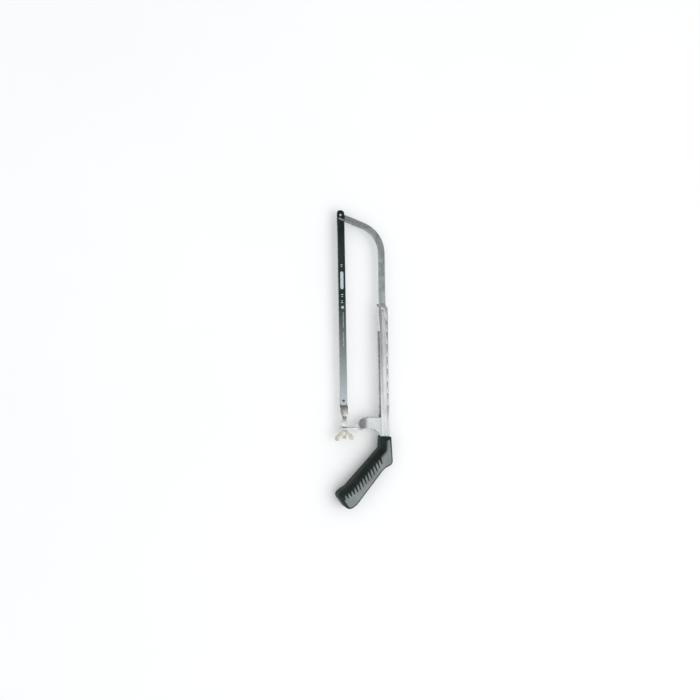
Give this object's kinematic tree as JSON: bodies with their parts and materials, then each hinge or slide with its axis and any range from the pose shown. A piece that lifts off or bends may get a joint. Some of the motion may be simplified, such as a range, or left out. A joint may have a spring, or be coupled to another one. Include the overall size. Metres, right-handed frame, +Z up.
{
  "type": "hacksaw",
  "caption": "Adjustable hand hacksaw: flat-bar front arm sliding in a channel frame, toothed blade on pins, wing-nut tensioner and moulded pistol grip.",
  "frame": {"origin": "centre of the bounding box's base, with the saw lying on its flat side", "axes": "+Y along the blade from the handle to the tip, +X from the blade to the spine, +Z up through the saw's thickness"},
  "size_m": [0.095, 0.4802, 0.031],
  "materials": {
    "blade_paint": "dark enamel over hardened steel, wavy-set teeth",
    "plated_bar": "dull zinc plate, mottled, drawn bar",
    "chrome_sheet": "bright chrome on pressed steel",
    "pin_steel": "bright turned steel",
    "nickel_steel": "bright nickel plate",
    "wing_nut_cast": "cast, nickel plated, slightly yellow",
    "handle_plastic": "moulded black plastic, fine texture",
    "screw_steel": "blackened steel",
    "rivet_steel": "plain steel rivets and rings"
  },
  "bodies": {
    "frame": {"sleeve": "chrome_sheet", "slide_guide": "chrome_sheet", "guide_rivet_near": "rivet_steel", "guide_rivet_far": "rivet_steel", "rear_arm": "chrome_sheet", "tang_rivet_1": "rivet_steel", "tang_rivet_2": "rivet_steel", "tang_spacer_1": "rivet_steel", "tang_spacer_2": "rivet_steel", "thrust_washer": "nickel_steel", "handle_near": "handle_plastic", "handle_far": "handle_plastic", "handle_screw_1": "screw_steel", "handle_screw_2": "screw_steel", "handle_screw_3": "screw_steel"},
    "front_arm": {"front_arm": "plated_bar", "front_blade_pin": "pin_steel", "lock_stud": "pin_steel"},
    "tension_screw": {"tension_screw": "nickel_steel", "rear_blade_pin": "screw_steel"},
    "wing_nut": {"wing_nut": "wing_nut_cast"},
    "blade": {"blade": "blade_paint"}
  },
  "joints": [
    {"name": "front_arm_slide", "type": "slide", "parent": "frame", "child": "front_arm", "axis": [0, 1, 0], "range_m": [-0.06, 0]},
    {"name": "wing_nut_spin", "type": "hinge", "parent": "frame", "child": "wing_nut", "pos_m": [-0.03212, -0.11838, 0.0155], "axis": [0, -1, 0], "range_deg": [0, 1513]},
    {"name": "tension_screw_slide", "type": "slide", "parent": "frame", "child": "tension_screw", "axis": [0, 1, 0], "range_m": [0, 0.0042]},
    {"name": "blade_swing", "type": "hinge", "parent": "tension_screw", "child": "blade", "pos_m": [-0.03212, -0.06738, 0.0155], "axis": [0, 0, 1], "range_deg": [0, 100]}
  ],
  "couplings": [
    {"joint": "wing_nut_spin", "follows": "tension_screw_slide", "rad_per_m": 6283.2}
  ]
}
